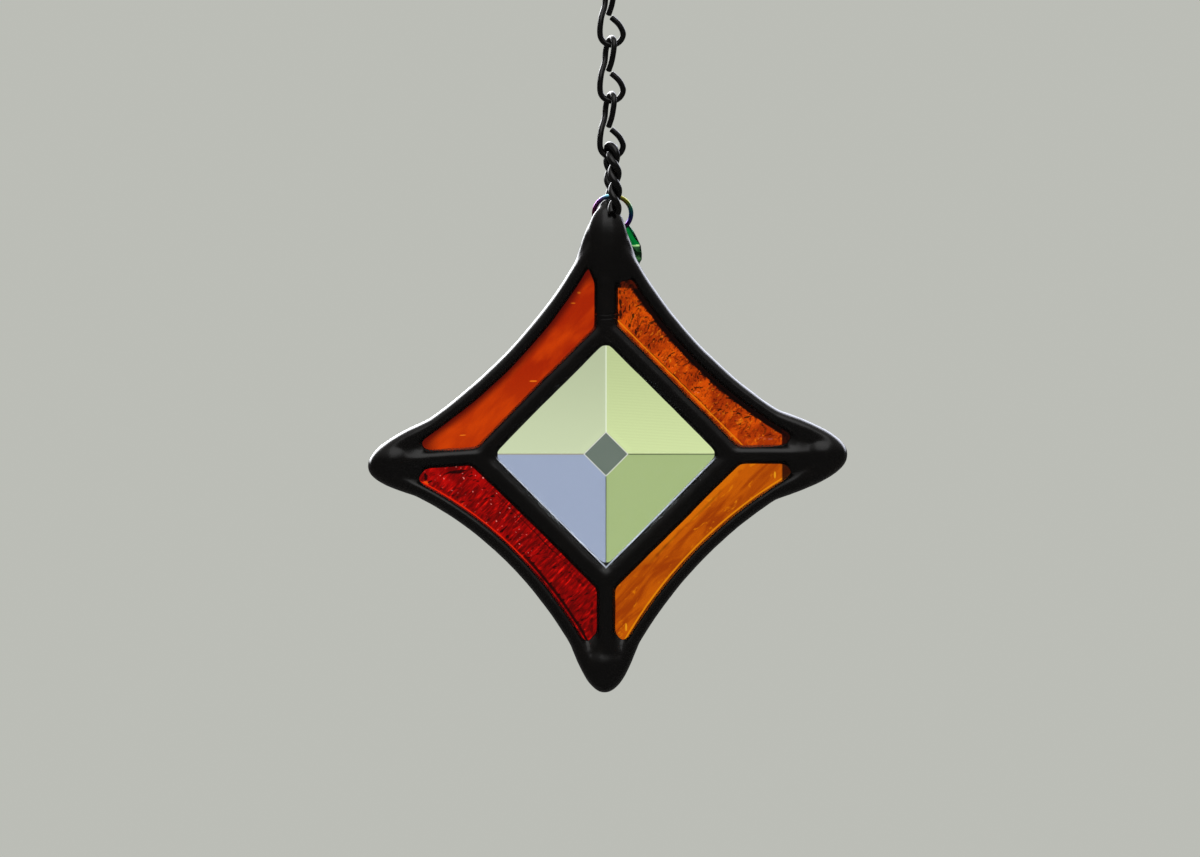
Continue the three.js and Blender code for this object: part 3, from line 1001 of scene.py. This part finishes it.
def bevel_solid(shrink=0.0, ridge=0.0):
    """The bevelled square on its corner: a flat back, a ground border and a small flat in front."""
    bm = bmesh.new()
    edge = BEVEL_EDGE_THICKNESS / 2 - shrink
    corner = BEVEL_SIDE / sqrt(2) - shrink * sqrt(2)
    rise = BEVEL_THICKNESS - BEVEL_EDGE_THICKNESS
    slab = bmesh.ops.create_cone(bm, cap_ends=True, segments=4, radius1=corner, radius2=corner,
                                 depth=2 * edge)
    bmesh.ops.rotate(bm, verts=slab["verts"], cent=(0, 0, 0),
                     matrix=Matrix.Rotation(QUARTER, 3, "X"))
    front = min(bm.faces, key=lambda face: face.calc_center_median().y)
    raised = bmesh.ops.extrude_discrete_faces(bm, faces=[front])["faces"][0]
    flat = BEVEL_FLAT_SIDE / BEVEL_SIDE
    for vert in raised.verts:
        vert.co = Vector((vert.co.x * flat, vert.co.y - rise, vert.co.z * flat))
    if ridge:
        ground = [e for e in bm.edges if min(v.co.y for v in e.verts) < -edge - rise / 2]
        bmesh.ops.bevel(bm, geom=ground, offset=ridge, offset_type="OFFSET", segments=3,
                        profile=0.5, affect="EDGES", material=-1, clamp_overlap=True)
    bmesh.ops.recalc_face_normals(bm, faces=bm.faces)
    return bm


class SUNCATCHER_OT_bevel(bpy.types.Operator):
    """Make the clear bevelled square"""

    bl_idname = "suncatcher.bevel"
    bl_label = "Bevelled Square"

    def execute(self, context):
        bm = bevel_solid(ridge=BEVEL_RIDGE)
        finished("glass_bevelled_square", bm, clear_material(),
                 ("bevelled_square",))
        return {"FINISHED"}


# ----------------------------------------------------------------------- solder


def oval_frames(path, half_depth, half_width):
    """Frames along a path in the star's plane, for a bead of oval section."""
    frames = []
    for i, point in enumerate(path):
        ahead = (path[min(i + 1, len(path) - 1)] - path[max(i - 1, 0)]).normalized()
        deep = Vector((0, 1, 0))
        aside = ahead.cross(deep)
        turn = Matrix((deep * half_depth, aside * half_width, ahead)).transposed()
        frames.append(Matrix.Translation(point) @ turn.to_4x4())
    return frames


def straight_path(start, end):
    """Evenly spaced points from one place to another."""
    start, end = Vector(start), Vector(end)
    return [start.lerp(end, i / BEAD_STEPS) for i in range(BEAD_STEPS + 1)]


def quarter_beads(bm, quarter):
    """The beads of the upper right quarter: its rim, its side of the square and its spoke."""
    radius = quarter["arc"] + quarter["rim"]
    reach = acos((RIM_TO - ARC_CENTRE) / radius)
    rim = []
    for i in range(RIM_STEPS + 1):
        angle = -reach + (2 * reach - 3 * QUARTER) * i / RIM_STEPS
        rim.append(Vector((ARC_CENTRE + radius * cos(angle), 0, ARC_CENTRE + radius * sin(angle))))
    swept(bm, oval_frames(rim, RIM_HALF_DEPTH, quarter["rim"]), BEAD_SIDES)
    lip = PANE_THICKNESS / 2 + LIP_OVER_PANE
    visible = quarter["square"] * sqrt(1 - (lip / SEAM_HALF_DEPTH) ** 2)
    corner = (BEVEL_WINDOW / 2 + visible) * sqrt(2)
    side = straight_path((0, 0, corner), (corner, 0, 0))
    swept(bm, oval_frames(side, SEAM_HALF_DEPTH, quarter["square"]), BEAD_SIDES)
    shift = quarter["shift"]
    spoke = straight_path((shift, 0, SPOKE_FROM), (shift, 0, TIP_REACH))
    swept(bm, oval_frames(spoke, SEAM_HALF_DEPTH, quarter["spoke"]), BEAD_SIDES)
    drop(bm, CORNER_DROP)


def tip_bead(bm, tip):
    """The bead that runs round the top tip, one half width inside the outline's parabola."""
    start, end = (atan(2 * sqrt((tip["reach"] - z) / tip["widening"])) for z in tip["ends"])
    path = []
    for i in range(TIP_STEPS + 1):
        turned = -start + (start + end) * i / TIP_STEPS
        across = tip["widening"] / 2 * tan(turned)
        x = tip["shift"] + across - TIP_BEAD * sin(turned)
        z = tip["reach"] - across ** 2 / tip["widening"] - TIP_BEAD * cos(turned)
        path.append(Vector((x, 0, z)))
    swept(bm, oval_frames(path, tip["depth"], TIP_BEAD), BEAD_SIDES)


def drop(bm, sizes):
    """A rounded drop of solder: its middle and its three half sizes."""
    x, y, z, half_width, half_depth, half_height = sizes
    place = Matrix.Translation((x, y, z)) @ Matrix.Diagonal((half_width, half_depth, half_height, 1))
    bmesh.ops.create_uvsphere(bm, u_segments=32, v_segments=18, radius=1, matrix=place)


def channel_cutter():
    """The glass, a hair smaller, as one mesh that hollows the solder."""
    cutter = bmesh.new()
    solids = [pane_solid(turn, 40, 2, shrink=GLASS_SINK) for turn in range(4)]
    solids.append(bevel_solid(shrink=GLASS_SINK))
    for solid in solids:
        take_in(cutter, mesh_of("channel", solid))
    cutter.transform(STAR_FRAME)
    return mesh_of("channel", cutter)


def run_together(mesh, grain, rounds):
    """Melt a mesh of overlapping beads into one skin, and smooth it."""
    mesh = modified(mesh, "REMESH", mode="VOXEL", voxel_size=grain)
    return modified(mesh, "SMOOTH", factor=0.5, iterations=rounds)


def uneven(mesh):
    """Let the beads' surface wander a little, as hand-run solder does."""
    bm = bmesh.new()
    bm.from_mesh(mesh)
    for vert in bm.verts:
        place = (vert.co - STAR) / MM
        broad = noise.noise(place * 0.22)
        fine = noise.noise(place * 0.7 + Vector((5, 9, 2)))
        vert.co += vert.normal * MM * (BROAD_UNEVENNESS * broad + FINE_UNEVENNESS * fine)
    bm.to_mesh(mesh)
    bm.free()


def all_beads():
    """Every bead and drop of the lattice but the top dome, overlapping."""
    bm = bmesh.new()
    for turn, quarter in enumerate(QUARTERS):
        part = bmesh.new()
        quarter_beads(part, quarter)
        tip_bead(part, TIPS[turn])
        part.transform(quarter_turn(turn))
        take_in(bm, mesh_of("quarter", part))
    for sizes in TIP_DROPS:
        drop(bm, sizes)
    sagged(bm)
    bmesh.ops.recalc_face_normals(bm, faces=bm.faces)
    bm.transform(STAR_FRAME)
    return mesh_of("solder", bm)


class SUNCATCHER_OT_solder(bpy.types.Operator):
    """Make the black solder lattice"""

    bl_idname = "suncatcher.solder"
    bl_label = "Solder Lattice"

    def execute(self, context):
        settings = context.scene.suncatcher_metal
        mesh = run_together(all_beads(), settings.grain, settings.flow)
        bm = bmesh.new()
        drop(bm, TOP_DOME)
        bm.transform(STAR_FRAME)
        take_in(bm, mesh)
        mesh = run_together(mesh_of("solder", bm), settings.grain, DOME_FLOW)
        uneven(mesh)
        channel = bpy.data.objects.new("channel", channel_cutter())
        context.scene.collection.objects.link(channel)
        mesh = modified(mesh, "BOOLEAN", operation="DIFFERENCE", solver="EXACT", object=channel)
        bpy.data.meshes.remove(channel.data)
        piece_of("solder_lattice", mesh, solder_material(), ("solder_frame",),
                 SOLDER_SHARP)
        return {"FINISHED"}


# ------------------------------------------------------------- wire, ring and drop


class SUNCATCHER_OT_loop(bpy.types.Operator):
    """Make the twisted-wire hanging loop"""

    bl_idname = "suncatcher.loop"
    bl_label = "Hanging Loop"

    def execute(self, context):
        middle, length = evenly(smooth_path(LOOP_ROUTE, 12), LOOP_STEPS + 1)
        bm = bmesh.new()
        for phase in (LOOP_PHASE, LOOP_PHASE + pi):
            path = []
            for i, point in enumerate(middle):
                ahead = middle[min(i + 1, LOOP_STEPS)] - middle[max(i - 1, 0)]
                tangent = ahead.normalized()
                inward = Vector((0, tangent.z, -tangent.y)).normalized()
                aside = inward.cross(tangent)
                angle = phase - (i / LOOP_STEPS - 0.5) * length / LOOP_LAY * tau
                path.append(point + (aside * cos(angle) + inward * sin(angle)) * STRAND_REACH)
            swept(bm, wire_frames(with_ends(path, CUT_LENGTH), LOOP_WIRE / 2), LOOP_SIDES)
        bmesh.ops.recalc_face_normals(bm, faces=bm.faces)
        finished("twisted_loop", bm, wire_material(), ("hanging_loop",),
                 sharp=SHARP)
        return {"FINISHED"}


def link_route():
    """A jack link's middle line, from the upper eye's cut end to the lower eye's."""
    half = CHAIN_WIRE / 2
    upper_centre = half - EYE_RADIUS
    lower_centre = EYE_RADIUS - LINK_INSIDE - half

    def upper(across, z):
        x = across * cos(EYE_TURN) + EYE_LEAN * (z - half)
        return (x, across * sin(EYE_TURN), z)

    places = [upper(0.5 * EYE_RADIUS, -4.35), upper(0.95 * EYE_RADIUS, -2.9)]
    for degrees in range(0, 181, 30):
        angle = radians(degrees)
        places.append(upper(EYE_RADIUS * cos(angle), upper_centre + EYE_RADIUS * sin(angle)))
    places.append(upper(-0.85 * EYE_RADIUS, -2.9))
    places.append((-0.9 * EYE_RADIUS, 0.25, -4.8))
    for degrees in range(180, 361, 30):
        angle = radians(degrees)
        places.append((EYE_RADIUS * cos(angle), 0, lower_centre + EYE_RADIUS * sin(angle)))
    places.append((0.68 * EYE_RADIUS, 0, lower_centre + 1.2))
    places.append((-0.04 * EYE_RADIUS, 0, lower_centre + 2.35))
    return places


class SUNCATCHER_OT_chain(bpy.types.Operator):
    """Make the jack chain's links"""

    bl_idname = "suncatcher.chain"
    bl_label = "Jack Chain"

    def execute(self, context):
        material = wire_material()
        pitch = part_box(LINK_NAMES[0])[1][2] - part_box(LINK_NAMES[1])[1][2]
        path = smooth_path(link_route(), 6)
        for place, name in enumerate(LINK_NAMES):
            bm = bmesh.new()
            frames = wire_frames(with_ends(path, CUT_LENGTH), CHAIN_WIRE / 2 - WIRE_SHY)
            swept(bm, frames, WIRE_SIDES)
            bmesh.ops.recalc_face_normals(bm, faces=bm.faces)
            hung = Matrix.Translation((0, 0, -place * pitch)) @ Matrix.Scale(MM, 4)
            finished(name.replace("chain", "jack"), bm, material, (name,), hung,
                     sharp=SHARP)
        return {"FINISHED"}


class SUNCATCHER_OT_ring(bpy.types.Operator):
    """Make the rainbow jump ring"""

    bl_idname = "suncatcher.ring"
    bl_label = "Jump Ring"

    def execute(self, context):
        path = []
        for i in range(RING_STEPS + 1):
            angle = -QUARTER + RING_SPLIT / 2 + (tau - RING_SPLIT) * i / RING_STEPS
            path.append(Vector((RING_RADIUS * cos(angle), 0, RING_RADIUS * sin(angle))))
        bm = bmesh.new()
        swept(bm, wire_frames(with_ends(path, RING_CUT_LENGTH), RING_WIRE / 2), WIRE_SIDES)
        bm.transform(Matrix.Translation(RING_CENTRE) @ Matrix.Rotation(RING_LEAN, 4, "X"))
        bmesh.ops.recalc_face_normals(bm, faces=bm.faces)
        finished("rainbow_ring", bm, rainbow_material(), ("jump_ring",),
                 sharp=SHARP)
        return {"FINISHED"}


class SUNCATCHER_OT_drop(bpy.types.Operator):
    """Make the faceted green drop"""

    bl_idname = "suncatcher.drop"
    bl_label = "Glass Drop"

    def execute(self, context):
        bm = bmesh.new()
        for row, (radius, height) in enumerate(DROP_ROWS):
            for i in range(DROP_SIDES):
                angle = tau * (i + row % 2 / 2) / DROP_SIDES
                bm.verts.new((radius * cos(angle), DROP_DEPTH_RATIO * radius * sin(angle), height))
        hull = bmesh.ops.convex_hull(bm, input=bm.verts)
        loose = [item for item in hull["geom_interior"] if isinstance(item, bmesh.types.BMVert)]
        bmesh.ops.delete(bm, geom=loose, context="VERTS")
        bmesh.ops.recalc_face_normals(bm, faces=bm.faces)
        bm.transform(Matrix.Translation(DROP_HOLE) @ Matrix.Rotation(-DROP_SIDEWAYS, 4, "Y")
                     @ Matrix.Rotation(DROP_BACKWARD, 4, "X"))
        finished("green_drop", bm, green_material(), ("glass_drop",))
        return {"FINISHED"}


# ------------------------------------------------------------------------ stage


def area_light(name, place, size, power):
    """A soft square panel of light aimed at the star."""
    light = bpy.data.lights.new(name, "AREA")
    light.shape = "SQUARE"
    light.size = size
    light.energy = power
    panel = bpy.data.objects.new(name, light)
    panel.location = place
    panel.visible_camera = False
    panel.visible_transmission = False
    panel.rotation_euler = (STAR - Vector(place)).to_track_quat("-Z", "Y").to_euler()
    bpy.context.scene.collection.objects.link(panel)


def light_through_glass(tree, direction, x, z):
    """What rays through glass find behind it, tinted by direction and set for the front view.

    Each bevel of the square bends them to the quarter across from it, and its flat lets them
    straight on.
    """
    right = ramped(tree, x, -QUARTER_BLUR, QUARTER_BLUR)
    above = ramped(tree, z, -QUARTER_BLUR, QUARTER_BLUR)
    height = maths(tree, "ABSOLUTE", z)
    width = maths(tree, "ABSOLUTE", x)
    upper = colour_mix(tree, right, (0.42, 0.52, 0.235, 1), (0.37, 0.42, 0.60, 1))
    lower = colour_mix(tree, right, (0.70, 0.79, 0.41, 1), (0.64, 0.70, 0.47, 1))
    shade = ramped(tree, z, -0.104, -0.083, 1.06, 0.82)
    lower = add(tree, "ShaderNodeVectorMath", {
        0: lower, "Scale": shade,
    }, operation="SCALE").outputs[0]
    tints = colour_mix(tree, above, lower, upper)
    level = colour_mix(tree, right, (0.07, 0.09, 0.05, 1), (0.36, 0.31, 0.22, 1))
    upright = colour_mix(tree, above, (0.92, 0.97, 0.82, 1), (0.10, 0.12, 0.08, 1))
    tints = colour_mix(tree, ramped(tree, height, *CROSS_EDGE), level, tints)
    tints = colour_mix(tree, ramped(tree, width, *CROSS_EDGE, 1, 0), tints, upright)
    far = maths(tree, "MAXIMUM", height, width)
    through = colour_mix(tree, ramped(tree, far, 0.055, 0.07), (0.80, 0.78, 0.74, 1), tints)
    through = painted(tree, through, (0.14, 0.14, 0.14), ramped(tree, height, 0.14, 0.24))
    through = painted(tree, through, (4.0, 4.2, 4.6), ramped(tree, z, 0.26, 0.5))
    ahead = add(tree, "ShaderNodeVectorMath", {
        0: direction, 1: STRAIGHT_ON,
    }, operation="DISTANCE").outputs["Value"]
    return colour_mix(tree, ramped(tree, ahead, 0.006, 0.012), (0.137, 0.172, 0.148, 1), through)


def light_on_surfaces(tree, x, y, z):
    """A soft sky over the star, and a bright sky behind it that lights its upper edges."""
    behind = ramped(tree, y, 0.5, 0.75)
    bright_sky = times(tree, ramped(tree, z, 0.12, 0.24), behind)
    height = ramped(tree, z, 0.25, 0.95)
    soft = colour_mix(tree, height, (0.07, 0.068, 0.066, 1), (0.5, 0.49, 0.48, 1))
    bright = colour_mix(tree, ramped(tree, x, -0.1, 0.1), (9, 9.1, 9.3, 1), (3.4, 3.5, 4.0, 1))
    return colour_mix(tree, bright_sky, soft, bright)


def studio_world(backdrop):
    """A plain backdrop for the camera, light that the glass passes on, and a soft sky."""
    world = bpy.data.worlds.new("studio")
    bpy.context.scene.world = world
    world.use_nodes = True
    tree = world.node_tree
    tree.nodes.clear()
    direction = add(tree, "ShaderNodeTexCoord").outputs["Generated"]
    x, y, z = split(tree, direction)
    path = add(tree, "ShaderNodeLightPath").outputs
    through = light_through_glass(tree, direction, x, z)
    surfaces = light_on_surfaces(tree, x, y, z)
    plain = colour_mix(tree, path["Is Transmission Ray"], surfaces, through)
    seen = colour_mix(tree, path["Is Camera Ray"], plain, rgba(backdrop))
    background = add(tree, "ShaderNodeBackground", {"Color": seen, "Strength": 1})
    add(tree, "ShaderNodeOutputWorld", {"Surface": background.outputs[0]})


def pale_floor(height):
    """A matt floor disc, kept out of reflections and of what shows through the glass."""
    bm = bmesh.new()
    place = Matrix.Translation((0, 0, height))
    bmesh.ops.create_circle(bm, cap_ends=True, segments=96, radius=FLOOR_RADIUS, matrix=place)
    material, tree, shader = new_material("pale_floor")
    fill(tree, shader.inputs, {"Base Color": (0.62, 0.62, 0.6, 1), "Roughness": 0.8})
    mesh = mesh_of("floor", bm)
    mesh.materials.append(material)
    floor = bpy.data.objects.new("floor", mesh)
    bpy.context.scene.collection.objects.link(floor)
    floor.visible_transmission = False
    floor.visible_glossy = False


def front_camera(lens, view_width):
    """A camera in front of the star that sees a given width there."""
    camera_data = bpy.data.cameras.new("camera")
    camera_data.lens = lens
    camera = bpy.data.objects.new("camera", camera_data)
    distance = lens / camera_data.sensor_width * view_width
    camera.location = STAR + Vector((CAMERA_ASIDE, -distance, CAMERA_ABOVE))
    camera.rotation_euler = (QUARTER, 0, 0)
    bpy.context.scene.collection.objects.link(camera)
    bpy.context.scene.camera = camera


class SUNCATCHER_OT_stage(bpy.types.Operator):
    """Make the floor, the lights, the backdrop and the camera"""

    bl_idname = "suncatcher.stage"
    bl_label = "Stage"

    def execute(self, context):
        settings = context.scene.suncatcher_stage
        context.scene.view_settings.view_transform = "Standard"
        studio_world(settings.backdrop)
        pale_floor(-settings.floor_drop)
        area_light("front_panel", PANEL_PLACE, PANEL_SIZE, PANEL_POWER)
        front_camera(settings.lens, settings.view_width)
        return {"FINISHED"}


class SUNCATCHER_PT_panel(bpy.types.Panel):
    """Lists the suncatcher's pieces and settings"""

    bl_idname = "SUNCATCHER_PT_panel"
    bl_label = "Suncatcher"
    bl_space_type = "VIEW_3D"
    bl_region_type = "UI"
    bl_category = "Suncatcher"

    def draw(self, context):
        for operator in OPERATORS:
            self.layout.operator(operator.bl_idname)
        for settings in SETTINGS:
            group = getattr(context.scene, settings)
            box = self.layout.box()
            for name in group.__annotations__:
                box.prop(group, name)


OPERATORS = (
    SUNCATCHER_OT_stage,
    SUNCATCHER_OT_bevel,
    SUNCATCHER_OT_panes,
    SUNCATCHER_OT_solder,
    SUNCATCHER_OT_loop,
    SUNCATCHER_OT_chain,
    SUNCATCHER_OT_ring,
    SUNCATCHER_OT_drop,
)
SETTINGS = {
    "suncatcher_glass": SuncatcherGlass,
    "suncatcher_metal": SuncatcherMetal,
    "suncatcher_stage": SuncatcherStage,
}


def register():
    for cls in (*SETTINGS.values(), *OPERATORS, SUNCATCHER_PT_panel):
        bpy.utils.register_class(cls)
    for name, group in SETTINGS.items():
        setattr(bpy.types.Scene, name, PointerProperty(type=group))


def unregister():
    for name in SETTINGS:
        delattr(bpy.types.Scene, name)
    for cls in (SUNCATCHER_PT_panel, *reversed(OPERATORS), *SETTINGS.values()):
        bpy.utils.unregister_class(cls)


def main():
    register()
    for operator in OPERATORS:
        family, name = operator.bl_idname.split(".")
        getattr(getattr(bpy.ops, family), name)()


if __name__ == "__main__":
    main()
